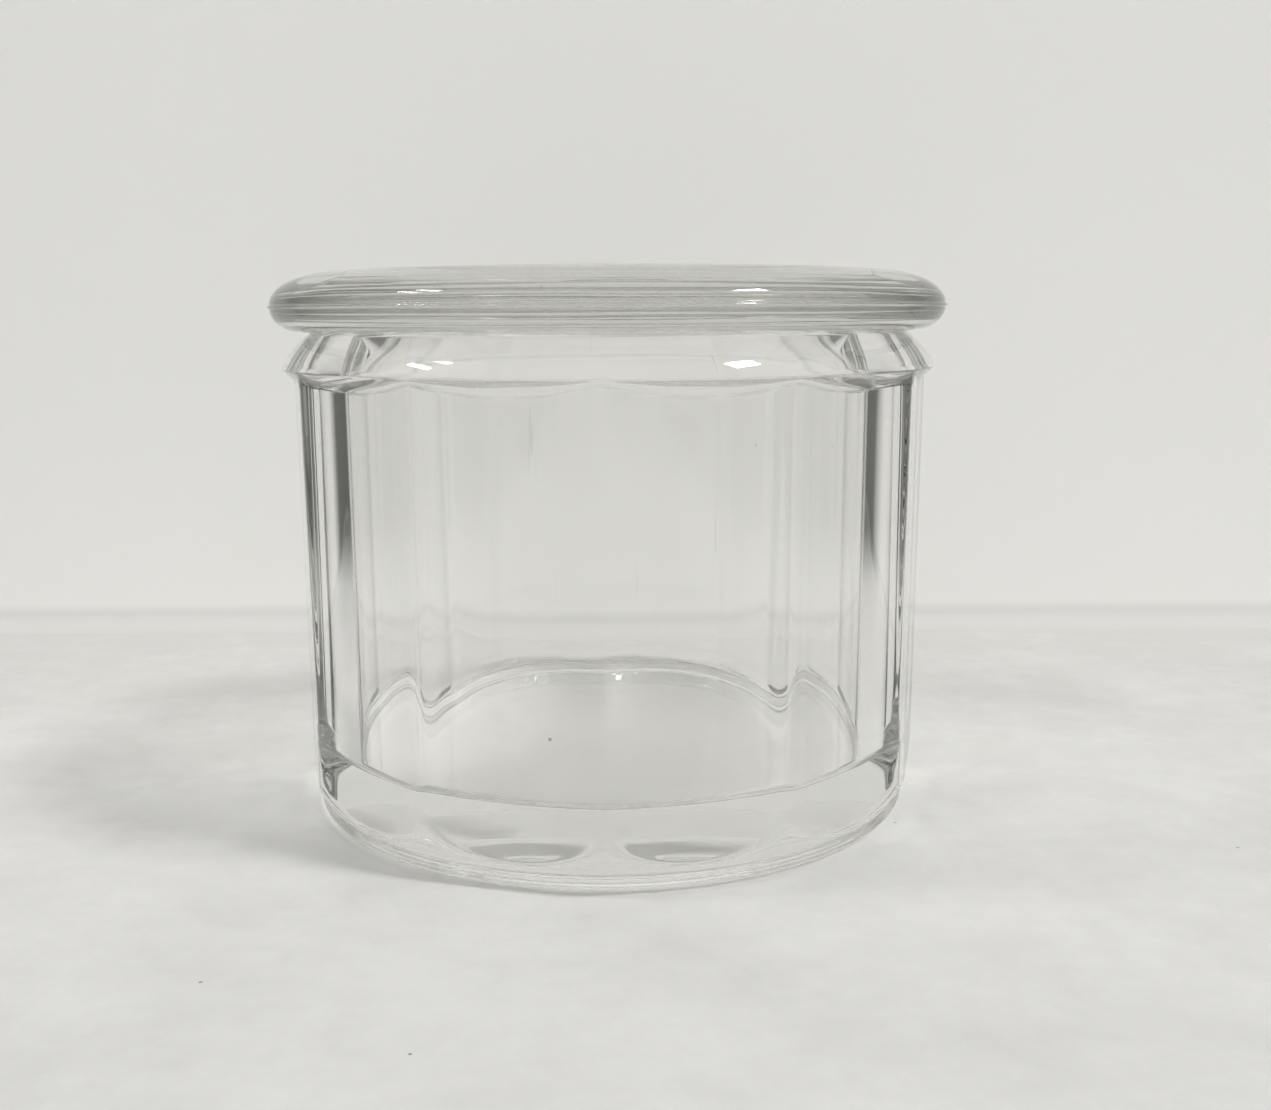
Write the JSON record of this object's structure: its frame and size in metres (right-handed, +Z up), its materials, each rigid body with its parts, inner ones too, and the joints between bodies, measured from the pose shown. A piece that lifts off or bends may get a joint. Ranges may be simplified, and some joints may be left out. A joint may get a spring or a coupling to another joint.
{
  "type": "covered glass dish",
  "caption": "Squat panelled glass dish with a thick base, rounded rim and smooth round inside, covered by a thick flat glass lid that lifts straight off.",
  "frame": {"origin": "middle of the underside, in the plane of the surface the dish stands on", "axes": "+Z up along the axis of the dish and lid; -Y towards a corner between two panels, which is the front"},
  "size_m": [0.0944, 0.0944, 0.0746],
  "materials": {
    "dish_glass": "gloss",
    "lid_glass": "gloss"
  },
  "bodies": {
    "dish": {"dish": "dish_glass"},
    "lid": {"lid": "lid_glass"}
  },
  "joints": [
    {"name": "lid_lift", "type": "slide", "parent": "dish", "child": "lid", "axis": [0, 0, 1], "range_m": [0, 0.075]}
  ]
}
